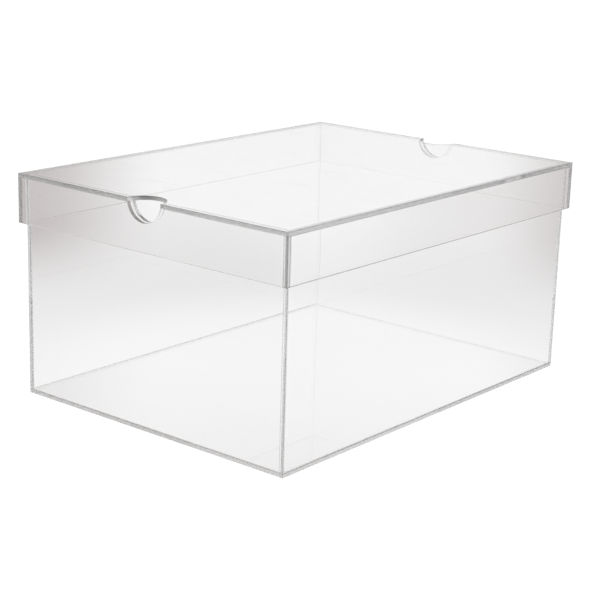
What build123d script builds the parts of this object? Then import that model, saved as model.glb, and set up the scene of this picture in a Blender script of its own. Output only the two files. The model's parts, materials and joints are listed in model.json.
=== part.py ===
from build123d import *
import os

# A clear display box for one pair of shoes. The open box is five flat acrylic panels and the lid
# is five more, all butt-jointed with solvent, so no screws, hinges or catches hold it together.
# The lid drops over the rim and lifts straight off. X runs along the box, Y across it and Z up.
# The origin is the middle of the face that the box stands on.

# Driving dimensions, in millimetres.
body_length = 340.0  # outside of the open box, along X
body_width = 251.0  # outside of the open box, along Y
body_height = 166.0  # from the face it stands on up to its rim
base_thickness = 3.0
wall_thickness = 3.0
lid_thickness = 3.0  # the lid's flat top
skirt_thickness = 3.0  # the lid's four sides
skirt_depth = 34.0  # how far the lid's sides hang below its top
end_clearance = 2.0  # at each short end, between the lid's side and the wall inside it
side_clearance = 0.5  # the same along each long side
notch_radius = 16.0  # finger notches, in the middle of both short ends

# Sizes that follow from the ones above.
lid_length = body_length + 2 * (end_clearance + skirt_thickness)
lid_width = body_width + 2 * (side_clearance + skirt_thickness)
wall_height = body_height - base_thickness
wall_inside_width = body_width - 2 * wall_thickness
skirt_inside_width = lid_width - 2 * skirt_thickness
skirt_bottom = body_height - skirt_depth
overall_height = body_height + lid_thickness


def panel(size_x, size_y, size_z, x=0.0, y=0.0, z=0.0):
    """A flat panel, centred on x and y, with its lowest face at height z."""
    return Pos(x, y, z) * Box(size_x, size_y, size_z, align=(Align.CENTER, Align.CENTER, Align.MIN))


def notch_through_end(x, thickness):
    """A round cutter along X for an upright end panel. It is centred on the lid's top edge."""
    return Pos(x, 0, overall_height) * Cylinder(notch_radius, 2 * thickness, rotation=(0, 90, 0))


def notch_through_top(x):
    """A round cutter along Z for the lid's top. It is centred on the top's short edge."""
    return Pos(x, 0, body_height + lid_thickness / 2) * Cylinder(notch_radius, 2 * lid_thickness)


def base_panel():
    """The whole footprint of the open box. The four walls stand on it."""
    return panel(body_length, body_width, base_thickness)


def long_wall(side):
    """A wall along X over the full length, so its two cut edges show on the short ends."""
    y = side * (body_width - wall_thickness) / 2
    return panel(body_length, wall_thickness, wall_height, y=y, z=base_thickness)


def end_wall(side):
    """A wall across the box, between the long walls, with a finger notch in its top edge."""
    x = side * (body_length - wall_thickness) / 2
    wall = panel(wall_thickness, wall_inside_width, wall_height, x=x, z=base_thickness)
    return wall - notch_through_end(x, wall_thickness)


def lid_top():
    """The lid's flat top, over its four sides, with a half-round bite in each short edge."""
    top = panel(lid_length, lid_width, lid_thickness, z=body_height)
    for side in (-1, 1):
        top -= notch_through_top(side * lid_length / 2)
    return top


def long_skirt(side):
    """A side of the lid along X over its full length, bonded under the top."""
    y = side * (lid_width - skirt_thickness) / 2
    return panel(lid_length, skirt_thickness, skirt_depth, y=y, z=skirt_bottom)


def end_skirt(side):
    """A side of the lid across the box, between the long ones, with a finger notch."""
    x = side * (lid_length - skirt_thickness) / 2
    skirt = panel(skirt_thickness, skirt_inside_width, skirt_depth, x=x, z=skirt_bottom)
    return skirt - notch_through_end(x, skirt_thickness)


pieces = {"base_panel": base_panel(), "lid_top": lid_top()}
for name, side in (("front", -1), ("back", 1)):
    pieces[f"{name}_wall"] = long_wall(side)
    pieces[f"lid_{name}_skirt"] = long_skirt(side)
for name, side in (("left", -1), ("right", 1)):
    pieces[f"{name}_end_wall"] = end_wall(side)
    pieces[f"lid_{name}_skirt"] = end_skirt(side)

os.makedirs("parts", exist_ok=True)
for name, piece in pieces.items():
    export_step(piece, f"parts/{name}.step")
print(f"{len(pieces)} pieces, {lid_length:g} x {lid_width:g} x {overall_height:g} mm overall")
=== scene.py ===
# %% [markdown]
# # A clear acrylic shoe box
#
# The object is a display box for one pair of shoes: ten flat pieces of clear acrylic sheet, five for
# the open box and five for the lid that drops over it. The pieces are butt-jointed with a solvent
# that melts the edge of one sheet into the face of the next, so there are no screws and no glue line.
# A clear object is shown by very little: its cut edges, the welds at its corners, and what its faces
# mirror. So each sheet is modelled as a real sheet, with broken edges and welded faces, and the light
# is that of a small studio for glassware.

# %% Load the frame
import json
import math
import bpy
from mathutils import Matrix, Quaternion, Vector


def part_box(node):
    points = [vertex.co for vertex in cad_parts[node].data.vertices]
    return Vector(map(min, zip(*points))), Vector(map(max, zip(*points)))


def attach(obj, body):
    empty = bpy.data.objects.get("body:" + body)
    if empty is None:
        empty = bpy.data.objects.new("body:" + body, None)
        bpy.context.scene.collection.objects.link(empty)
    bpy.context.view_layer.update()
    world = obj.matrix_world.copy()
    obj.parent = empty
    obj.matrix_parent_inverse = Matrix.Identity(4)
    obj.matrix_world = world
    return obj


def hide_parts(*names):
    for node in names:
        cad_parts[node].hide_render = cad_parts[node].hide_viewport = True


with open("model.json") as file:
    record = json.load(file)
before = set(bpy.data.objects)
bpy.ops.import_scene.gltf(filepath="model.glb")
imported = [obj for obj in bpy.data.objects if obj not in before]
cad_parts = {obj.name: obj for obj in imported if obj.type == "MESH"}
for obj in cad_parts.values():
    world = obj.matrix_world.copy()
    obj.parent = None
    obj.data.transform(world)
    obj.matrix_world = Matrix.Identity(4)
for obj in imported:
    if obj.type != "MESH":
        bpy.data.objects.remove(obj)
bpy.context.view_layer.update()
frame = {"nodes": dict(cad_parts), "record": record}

# %% [markdown]
# ## The camera
#
# The box is seen from above one corner, turned a little more towards its short end. A long lens
# keeps the far corner nearly as large as the near one. The camera could be placed by eye, but four
# plain values say it better: where it aims, how far off it is, and its two angles. It also leans
# over by a degree or two, as a hand-set camera does.

# %% Camera
camera_azimuth = math.radians(-50.67)
camera_elevation = math.radians(15.64)
camera_roll = math.radians(1.68)
camera_distance = 1.1707
camera_aim = Vector((-0.0578, -0.0442, 0.0845))
camera_lens = 96.0  # millimetres, on a sensor 36 mm wide

towards_camera = Vector((
    math.sin(camera_azimuth) * math.cos(camera_elevation),
    -math.cos(camera_azimuth) * math.cos(camera_elevation),
    math.sin(camera_elevation),
))
camera_data = bpy.data.cameras.new("camera")
camera_data.lens = camera_lens
camera = bpy.data.objects.new("camera", camera_data)
camera.rotation_mode = "QUATERNION"
camera.location = camera_aim + towards_camera * camera_distance
level = (-towards_camera).to_track_quat("-Z", "Y")
camera.rotation_quaternion = level @ Quaternion((0, 0, 1), camera_roll)
bpy.context.scene.collection.objects.link(camera)
bpy.context.scene.camera = camera
print("camera at", [round(value, 3) for value in camera.location])

# %% [markdown]
# ## Node helpers
#
# Every finish below is built from nodes. Three small helpers keep that short: one adds a node and
# sets its inputs, one does sums, and one turns a pattern into a value between two limits.

# %% Node helpers


def add_node(tree, kind, settings=None, **inputs):
    """A node of this kind. Settings are its own options, and inputs are values or sockets to link."""
    node = tree.nodes.new(kind)
    for name, value in (settings or {}).items():
        setattr(node, name, value)
    for name, value in inputs.items():
        socket = node.inputs[int(name[1:])] if name[1:].isdigit() else node.inputs[name.replace("_", " ")]
        if isinstance(value, bpy.types.NodeSocket):
            tree.links.new(value, socket)
        else:
            socket.default_value = value
    return node


def sums(tree, operation, first, second=0.0):
    """One Math node: the result of the operation on two values or sockets."""
    return add_node(tree, "ShaderNodeMath", {"operation": operation}, _0=first, _1=second).outputs[0]


def between(tree, value, from_low, from_high, to_low, to_high):
    """A value spread from one range onto another, held inside the second with a smooth step."""
    node = add_node(tree, "ShaderNodeMapRange", {"interpolation_type": "SMOOTHSTEP"}, Value=value,
                    From_Min=from_low, From_Max=from_high, To_Min=to_low, To_Max=to_high)
    return node.outputs["Result"]


# %% [markdown]
# ## The studio
#
# A clear sheet has no colour of its own to light. What shows is the room: straight through the sheet,
# mirrored in its faces, and bent round inside it until it comes out of a cut edge. A plain white room
# would make the box vanish, so the light is that of a table-top studio for glassware: white panels
# all round with grey wall between them, one panel straight behind the box, and one wide soft light
# overhead. The grey is what draws the edges.
#
# Glassware is often cut out onto pure white, while the sheets still show the softer white of the real
# backdrop. So there are two whites here. A Light Path node gives the camera's own direct view the pure
# one, and every ray that has met the box gets the softer one.

# %% World light
seen_white = 1.04  # the backdrop as the camera sees it, just past the brightest white
backdrop_white = 0.92  # the same backdrop as it lights the box
wall_grey = (0.47, 0.425, 0.42, 1)
overhead_light = 1.6
panels_per_round = 13
backdrop_turn = math.radians(0.7)  # how far the panel behind the box is off the camera's line
panel_fade = (-1.0, 0.3)  # a cosine: -1 midway between two panels, 1 in the middle of one
panel_top = (0.30, 0.42)  # heights where the panels fade into the wall, as the sine of the elevation
overhead_rim = (0.72, 0.86)  # the same for the light overhead

world = bpy.data.worlds.new("studio")
bpy.context.scene.world = world
world.use_nodes = True
sky = world.node_tree
sky.nodes.clear()
direction = add_node(sky, "ShaderNodeTexCoord").outputs["Generated"]
split = add_node(sky, "ShaderNodeSeparateXYZ", Vector=direction).outputs
heading = sums(sky, "ARCTAN2", split["X"], split["Y"])
away = sums(sky, "ADD", heading, camera_azimuth - backdrop_turn)
away = sums(sky, "MULTIPLY", away, panels_per_round)
panels = between(sky, sums(sky, "COSINE", away), *panel_fade, 0.0, 1.0)
low_band = between(sky, split["Z"], *panel_top, 1.0, 0.0)
backdrop = sums(sky, "MULTIPLY", panels, low_band)
overhead = between(sky, split["Z"], *overhead_rim, 0.0, 1.0)
room = add_node(sky, "ShaderNodeMix", {"data_type": "RGBA"}, Factor=backdrop, _6=wall_grey,
                _7=(backdrop_white, backdrop_white, backdrop_white, 1)).outputs[2]
room = add_node(sky, "ShaderNodeMix", {"data_type": "RGBA"}, Factor=overhead, _6=room,
                _7=(overhead_light, overhead_light, overhead_light, 1)).outputs[2]
seen_straight = add_node(sky, "ShaderNodeLightPath").outputs["Is Camera Ray"]
shown = add_node(sky, "ShaderNodeMix", {"data_type": "RGBA"}, Factor=seen_straight, _6=room,
                 _7=(seen_white, seen_white, seen_white, 1)).outputs[2]
background = add_node(sky, "ShaderNodeBackground", Color=shown)
add_node(sky, "ShaderNodeOutputWorld", Surface=background.outputs[0])
bpy.context.scene.view_settings.view_transform = "Standard"
print("studio lit by the world, overhead", overhead_light)

# %% [markdown]
# ## The floor
#
# The box stands on a light table: a white disc that glows evenly from below, a little brighter under
# the box. A plain white table would be lit only from above, and its light would reach the sheets too
# dim. The disc's rim fades out, so no horizon line shows through the clear walls. Like the backdrop,
# it is pure white where the camera looks straight at it. It lies a hair below the box, because two
# faces in one plane would flicker.

# %% Floor
floor_gap = 0.0003
floor_radius = 0.62
floor_vertices = 96
glow_near = 0.94  # under the box
glow_far = 0.84  # well away from it
box_reach = 0.15  # metres from the middle, where the glow starts to fall
rim_fade = (0.45, 0.98)  # shares of the radius between which the disc fades out
bpy.ops.mesh.primitive_circle_add(vertices=floor_vertices, radius=floor_radius, fill_type="NGON",
                                  location=(0, 0, -floor_gap))
floor = bpy.context.object
floor.name = "floor"
floor_paint = bpy.data.materials.new("floor_paint")
floor_paint.use_nodes = True
tree = floor_paint.node_tree
tree.nodes.clear()
place = add_node(tree, "ShaderNodeTexCoord").outputs["Object"]
from_middle = add_node(tree, "ShaderNodeVectorMath", {"operation": "LENGTH"}, _0=place).outputs["Value"]
solid = between(tree, from_middle, rim_fade[0] * floor_radius, rim_fade[1] * floor_radius, 1.0, 0.0)
seen_straight = add_node(tree, "ShaderNodeLightPath").outputs["Is Camera Ray"]
glow_here = between(tree, from_middle, box_reach, 2 * box_reach, glow_near, glow_far)
strength = add_node(tree, "ShaderNodeMix", Factor=seen_straight, _2=glow_here, _3=seen_white).outputs[0]
glow = add_node(tree, "ShaderNodeEmission", Color=(1, 1, 1, 1), Strength=strength)
nothing = add_node(tree, "ShaderNodeBsdfTransparent")
mixed = add_node(tree, "ShaderNodeMixShader", _0=solid, _1=nothing.outputs[0], _2=glow.outputs[0])
add_node(tree, "ShaderNodeOutputMaterial", Surface=mixed.outputs[0])
floor.data.materials.append(floor_paint)
print("floor radius", floor_radius, "m")

# %% [markdown]
# ## Light inside the sheets
#
# A ray that enters a cut edge runs along inside the sheet, mirrored from face to face about fifty
# times over the height of a wall, before it comes out. The renderer gives up after a few such steps
# and paints black, so it is told to follow each ray for longer.

# %% Ray depth
ray_depth = 80
cycles = bpy.context.scene.cycles
cycles.max_bounces = ray_depth
cycles.glossy_bounces = ray_depth
cycles.transmission_bounces = ray_depth
cycles.transparent_max_bounces = 2 * ray_depth
print("rays are followed for", ray_depth, "steps, denoising", cycles.use_denoising)

# %% [markdown]
# ## What is welded to what
#
# Each weld joins the cut edge of one sheet to the face of another. The walls stand on the base and
# the lid's sides hang from its top, and the short walls and sides sit between the long ones. The
# list is made once, by loops, and everything about the joints is worked out from it and from the
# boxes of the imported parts: where a sheet ends, and which strip of its neighbour is melted to it.

# %% Welds
long_names = ("front", "back")
end_names = ("left", "right")
welds = []  # (sheet whose edge is welded, sheet whose face takes it)
for name in long_names:
    welds += [(f"{name}_wall", "base_panel"), (f"lid_{name}_skirt", "lid_top")]
for name in end_names:
    welds += [(f"{name}_end_wall", "base_panel"), (f"lid_{name}_skirt", "lid_top")]
    for long_name in long_names:
        welds += [(f"{name}_end_wall", f"{long_name}_wall")]
        welds += [(f"lid_{name}_skirt", f"lid_{long_name}_skirt")]
boxes = {node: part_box(node) for node in frame["nodes"]}


def thin_axis(node):
    """The axis that a sheet's thickness lies along: 0, 1 or 2."""
    low, high = boxes[node]
    size = high - low
    return min(range(3), key=lambda axis: size[axis])


def shared_patch(edge_node, face_node):
    """Low and high corners of the patch where two sheets meet. It has no depth along one axis."""
    (low_a, high_a), (low_b, high_b) = boxes[edge_node], boxes[face_node]
    low = Vector([max(low_a[axis], low_b[axis]) for axis in range(3)])
    high = Vector([min(high_a[axis], high_b[axis]) for axis in range(3)])
    return low, high


print(len(boxes), "sheets and", len(welds), "welds")

# %% [markdown]
# ## Sizes of the small things
#
# The cut edges of the sheets are scraped to take the sharpness off, which leaves a tiny bevel that
# catches the light. Welded faces are kept a hair apart, and so are the lid and the rim it rests on,
# because a renderer can't tell which of two faces in the same plane comes first. The finger notch
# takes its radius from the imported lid: on the short edge of its top, the first points beside the
# middle are one radius from it.

# %% Small sizes
edge_break = 0.00025
weld_gap = 0.00005
seat_gap = 0.0001
notch_vertices = 128
lid_low, lid_high = boxes["lid_top"]
lid_points = [vertex.co for vertex in frame["nodes"]["lid_top"].data.vertices]
tolerance = 0.00001  # places closer than this count as one
bevel_steps = 2
notch_radius = min(abs(point.y) for point in lid_points if abs(point.x - lid_low.x) < tolerance)
print("notch radius", round(notch_radius * 1000, 2), "mm")

# %% [markdown]
# ## Cutting a sheet
#
# A sheet starts as a cube, stretched to its size and place. Then its place is moved into its mesh, so
# the object sits at the origin like the CAD parts. Where its edge is welded it stops a hair short of
# its neighbour, and a wall stops a hair below the lid that rests on it.

# %% Sheet blanks


def start_clean():
    """Leaves edit mode and deselects everything, so the next operator acts only on what is chosen."""
    if bpy.context.mode != "OBJECT":
        bpy.ops.object.mode_set(mode="OBJECT")
    bpy.ops.object.select_all(action="DESELECT")


def trimmed_box(node):
    """The sheet's box, shortened at its welded edges and where the lid rests."""
    low, high = boxes[node][0].copy(), boxes[node][1].copy()
    for edge_node, face_node in welds:
        if edge_node != node:
            continue
        patch_low, _ = shared_patch(edge_node, face_node)
        axis = thin_axis(face_node)
        if abs(patch_low[axis] - low[axis]) < tolerance:
            low[axis] += weld_gap
        else:
            high[axis] -= weld_gap
    if node.endswith("wall"):
        high.z -= seat_gap
    return low, high


def cut_blank(node):
    """A cube stretched to the sheet's size, with its place in its mesh."""
    low, high = trimmed_box(node)
    start_clean()
    bpy.ops.mesh.primitive_cube_add(size=1, location=(low + high) / 2)
    blank = bpy.context.object
    blank.name = blank.data.name = f"{node}_sheet"
    blank.scale = high - low
    bpy.ops.object.transform_apply(location=True, rotation=True, scale=True)
    return blank


sheets = {node: cut_blank(node) for node in boxes}
print("blanks cut:", ", ".join(sheets))

# %% [markdown]
# ## Finger notches
#
# Both short ends have a half-round notch for a fingertip, through the lid's side and the wall behind
# it, and a matching bite out of the lid's top. All of them are one round cutter, pushed through along
# X for the upright sheets and along Z for the top. A boolean makes a clean cut through a flat sheet.
# The cutter has many sides, so the curve reads as round from close by.

# %% Notches


def cut_round(sheet, place, turn):
    """Takes a round bite out of a sheet with a cylinder at a place, turned by an angle about Y."""
    start_clean()
    bpy.ops.mesh.primitive_cylinder_add(vertices=notch_vertices, radius=notch_radius, depth=notch_radius,
                                        location=place, rotation=(0, turn, 0))
    cutter = bpy.context.object
    start_clean()
    bpy.context.view_layer.objects.active = sheet
    sheet.select_set(True)
    bite = sheet.modifiers.new("bite", "BOOLEAN")
    bite.operation, bite.solver, bite.object = "DIFFERENCE", "EXACT", cutter
    bpy.ops.object.modifier_apply(modifier=bite.name)
    bpy.data.objects.remove(cutter)


for name, side in zip(end_names, (lid_low.x, lid_high.x)):
    middle = Vector((side, 0, lid_high.z))
    cut_round(sheets[f"{name}_end_wall"], middle, math.pi / 2)
    cut_round(sheets[f"lid_{name}_skirt"], middle, math.pi / 2)
    cut_round(sheets["lid_top"], middle, 0)
print("notches cut, faces in the lid's top:", len(sheets["lid_top"].data.polygons))

# %% [markdown]
# ## Broken edges
#
# Every sharp edge gets the same narrow bevel in two steps, the notch's rims too. In edit mode the
# sharp edges are picked by their angle, which leaves the many shallow edges round a notch alone.
#
# At the two tips of a notch the bevels run out to nothing and leave points on top of each other, with
# faces of no area between them. Blender still calls such a mesh closed, but a program that reads its
# exported triangles doesn't. So points that fall together are merged, and the shortest edge is printed.

# %% Bevel the edges
sharp_angle = math.radians(40)


def shortest_edge(mesh):
    """The length of a mesh's shortest edge, in metres."""
    points = [vertex.co for vertex in mesh.vertices]
    return min((points[edge.vertices[0]] - points[edge.vertices[1]]).length for edge in mesh.edges)


for sheet in sheets.values():
    start_clean()
    bpy.context.view_layer.objects.active = sheet
    sheet.select_set(True)
    bpy.ops.object.mode_set(mode="EDIT")
    bpy.ops.mesh.select_mode(type="EDGE")
    bpy.ops.mesh.select_all(action="SELECT")
    bpy.ops.mesh.remove_doubles(threshold=tolerance / 10)
    bpy.ops.mesh.select_all(action="DESELECT")
    bpy.ops.mesh.edges_select_sharp(sharpness=sharp_angle)
    bpy.ops.mesh.bevel(offset=edge_break, segments=bevel_steps, affect="EDGES", clamp_overlap=True)
    bpy.ops.mesh.select_all(action="SELECT")
    bpy.ops.mesh.remove_doubles(threshold=tolerance)
    bpy.ops.object.mode_set(mode="OBJECT")
shortest = min(shortest_edge(sheet.data) for sheet in sheets.values())
print("edges broken by", edge_break * 1000, "mm, shortest edge left", round(shortest * 1000, 4), "mm")

# %% [markdown]
# ## Weld strips
#
# Along a weld, the face of the second sheet is melted to the edge of the first, over a strip as wide
# as the sheet is thick. The strip has to be its own face before it can look different, so the sheet
# is cut through along the strip's sides. Cuts that would fall on the sheet's own bevels are left out.

# %% Cut the weld strips


def score(sheet, axis, place):
    """Cuts a sheet's mesh through along a plane, without taking anything away."""
    normal = Vector((0, 0, 0))
    normal[axis] = 1
    point = normal * place
    start_clean()
    bpy.context.view_layer.objects.active = sheet
    sheet.select_set(True)
    bpy.ops.object.mode_set(mode="EDIT")
    bpy.ops.mesh.select_all(action="SELECT")
    bpy.ops.mesh.bisect(plane_co=point, plane_no=normal, threshold=tolerance / 10)
    bpy.ops.object.mode_set(mode="OBJECT")


def weld_strip(edge_node, face_node):
    """Low and high corners of the melted strip, inside the bevels of the edge that meets it."""
    low, high = shared_patch(edge_node, face_node)
    for axis in range(3):
        if axis != thin_axis(face_node):
            low[axis] += edge_break
            high[axis] -= edge_break
    return low, high


scores = set()
for edge_node, face_node in welds:
    low, high = weld_strip(edge_node, face_node)
    sheet_low, sheet_high = boxes[face_node]
    for axis in range(3):
        for place in (low[axis], high[axis]):
            inside = sheet_low[axis] + 2 * edge_break < place < sheet_high[axis] - 2 * edge_break
            if axis != thin_axis(face_node) and inside:
                scores.add((face_node, axis, round(place, 6)))
for node, axis, place in sorted(scores):
    score(sheets[node], axis, place)
print(len(scores), "cuts along weld strips")

# %% [markdown]
# ## Naming the zones
#
# Three kinds of surface make up a sheet: the rolled or cast faces, glossy from the factory; the cut
# edges, which carry the marks of the cutter; and the welded faces, which are melted away and all but
# disappear. One material does all three, so the inside of a sheet stays one volume, and two
# attributes on the faces tell it which zone it is in. The bevels and the curve of a notch are shaded
# smooth, and flat faces stay flat so that nothing bends what is seen through them.

# %% Zones
square_on = 0.99  # a face looks along an axis when that part of its normal is over this
exactly_flat = 0.9999  # a face whose normal has no part over this slants or curves, and is smooth


def is_welded(node, centre, normal):
    """True where a face of this sheet lies in one of its welds and looks along it."""
    for edge_node, face_node in welds:
        if node not in (edge_node, face_node):
            continue
        axis = thin_axis(face_node)
        low, high = weld_strip(edge_node, face_node)
        reach = 2 * weld_gap
        within = all(low[a] - reach < centre[a] < high[a] + reach for a in range(3))
        if within and abs(normal[axis]) > square_on:
            return True
    return False


for node, sheet in sheets.items():
    mesh = sheet.data
    thin = thin_axis(node)
    welded = mesh.attributes.new("welded", "FLOAT", "FACE")
    cut_edge = mesh.attributes.new("cut_edge", "FLOAT", "FACE")
    counts = [0, 0, 0]
    for face in mesh.polygons:
        melted = is_welded(node, face.center, face.normal)
        flat_face = abs(face.normal[thin]) > square_on
        welded.data[face.index].value = float(melted)
        cut_edge.data[face.index].value = float(not melted and not flat_face)
        face.use_smooth = max(abs(part) for part in face.normal) < exactly_flat
        counts[0 if melted else 1 if flat_face else 2] += 1
    print(f"{node}: {counts[0]} welded, {counts[1]} flat and {counts[2]} edge faces")

# %% [markdown]
# ## Clear acrylic
#
# Acrylic bends light a little less than window glass, with an index of 1.49, and it is very slightly
# grey along its length: three millimetres look perfectly clear, but light that has run the length of
# a sheet comes out of its edge dim. That is absorption inside the volume, not a colour on the
# surface. The faces carry what handling leaves: faint wipe marks and hairline scratches. The edges
# have the fine ripple of the cutter, and the welds a few trapped bubbles.
#
# The lid's sheet is given a higher absorption than the box's, which makes its cut edges a shade darker,
# so each body has its own absorption. The lid is also handled more, so it is a little more worn.

# %% Acrylic material
acrylic_index = 1.491
box_absorption = 0.5  # per metre
lid_absorption = 1.3
absorption_tint = (0.0, 0.03, 0.02, 1)
box_wear = 0.6
lid_wear = 1.0

# How fine each pattern is, in repeats per metre.
wipe_fineness = 14.0
ripple_fineness = 1800.0
bubble_fineness = 420.0
bubble_patch_fineness = 60.0
scratch_sets = ((0.5, 900, 0.70), (2.2, 700, 0.71))  # turn in radians, fineness, and how few are kept
scratch_lean = 0.7  # the turn about Y, as a share of the turn about X and Z
scratch_stretch = 0.02  # fineness along a scratch, as a share of that across it
scratch_fade = 0.04  # the range of noise over which a streak comes in

# The range of a pattern's own values over which its effect comes in, or goes out for a bubble.
wipe_limits = (0.52, 0.75)
ripple_limits = (0.3, 0.7)
bubble_limits = (0.16, 0.2)  # distances from a bubble's middle, in cells of the pattern
bubble_patch_limits = (0.56, 0.6)

# How rough each mark is, at a wear of 1, and the range over a cut edge.
wipe_roughness = 0.02
scratch_roughness = 0.12
edge_roughness = (0.1, 0.25)
ripple_depth = 0.00004
ripple_strength = 0.12


def hairlines(tree, place, turn, size, keep):
    """A sparse set of hairline scratches: long thin streaks of noise, thresholded, turned by an angle."""
    turned = add_node(tree, "ShaderNodeMapping", Vector=place, Rotation=(turn, turn * scratch_lean, turn),
                      Scale=(size, size * scratch_stretch, size))
    streaks = add_node(tree, "ShaderNodeTexNoise", Vector=turned.outputs[0], Scale=1.0, Detail=1.0,
                       Roughness=0.4)
    return between(tree, streaks.outputs[0], keep, keep + scratch_fade, 0.0, 1.0)


def make_acrylic(name, wear, absorption):
    """Clear acrylic sheet. Wear scales its scratches and wipe marks, and absorption is per metre."""
    material = bpy.data.materials.new(name)
    material.use_nodes = True
    tree = material.node_tree
    tree.nodes.clear()
    place = add_node(tree, "ShaderNodeTexCoord").outputs["Object"]
    welded = add_node(tree, "ShaderNodeAttribute", {"attribute_name": "welded"}).outputs["Fac"]
    cut_edge = add_node(tree, "ShaderNodeAttribute", {"attribute_name": "cut_edge"}).outputs["Fac"]

    wipes = add_node(tree, "ShaderNodeTexNoise", Vector=place, Scale=wipe_fineness, Detail=4.0,
                     Roughness=0.6, Distortion=1.5).outputs[0]
    wipes = between(tree, wipes, *wipe_limits, 0.0, 1.0)
    first_scratches, second_scratches = (hairlines(tree, place, *values) for values in scratch_sets)
    scratches = sums(tree, "MAXIMUM", first_scratches, second_scratches)
    ripple = add_node(tree, "ShaderNodeTexNoise", Vector=place, Scale=ripple_fineness, Detail=2.0).outputs[0]

    wipe_rough = sums(tree, "MULTIPLY", wipes, wipe_roughness * wear)
    scratch_rough = sums(tree, "MULTIPLY", scratches, scratch_roughness * wear)
    face_rough = sums(tree, "ADD", wipe_rough, scratch_rough)
    edge_rough = between(tree, ripple, *ripple_limits, *edge_roughness)
    rough = add_node(tree, "ShaderNodeMix", Factor=cut_edge, _2=face_rough, _3=edge_rough).outputs[0]

    bubbles = add_node(tree, "ShaderNodeTexVoronoi", Vector=place, Scale=bubble_fineness).outputs["Distance"]
    patches = add_node(tree, "ShaderNodeTexNoise", Vector=place, Scale=bubble_patch_fineness,
                       Detail=2.0).outputs[0]
    trapped = sums(tree, "MULTIPLY", between(tree, bubbles, *bubble_limits, 1.0, 0.0),
                   between(tree, patches, *bubble_patch_limits, 0.0, 1.0))
    open_share = sums(tree, "MULTIPLY", welded, sums(tree, "SUBTRACT", 1.0, trapped))
    alpha = sums(tree, "SUBTRACT", 1.0, open_share)

    height = sums(tree, "MULTIPLY", ripple, cut_edge)
    bump = add_node(tree, "ShaderNodeBump", Height=height, Strength=ripple_strength, Distance=ripple_depth)
    shader = add_node(tree, "ShaderNodeBsdfPrincipled", Base_Color=(1, 1, 1, 1), Roughness=rough,
                      IOR=acrylic_index, Alpha=alpha, Normal=bump.outputs[0])
    shader.inputs["Transmission Weight"].default_value = 1.0
    depth = add_node(tree, "ShaderNodeVolumeAbsorption", Color=absorption_tint, Density=absorption)
    add_node(tree, "ShaderNodeOutputMaterial", Surface=shader.outputs[0], Volume=depth.outputs[0])
    return material


acrylics = {
    "box": make_acrylic("box_acrylic", box_wear, box_absorption),
    "lid": make_acrylic("lid_acrylic", lid_wear, lid_absorption),
}
print("acrylic made for", ", ".join(acrylics))

# %% [markdown]
# ## Putting the box together
#
# Each sheet takes the place of its plain CAD part, rides on the box or on the lid, and takes that
# body's acrylic. The lid's five sheets lift together.

# %% Assemble
for body, nodes in frame["record"]["behaviour"]["bodies"].items():
    for node in nodes:
        sheet = sheets[node]
        sheet.data.materials.append(acrylics[body])
        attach(sheet, body)
        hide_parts(node)
    print(body, "carries", len(nodes), "sheets")
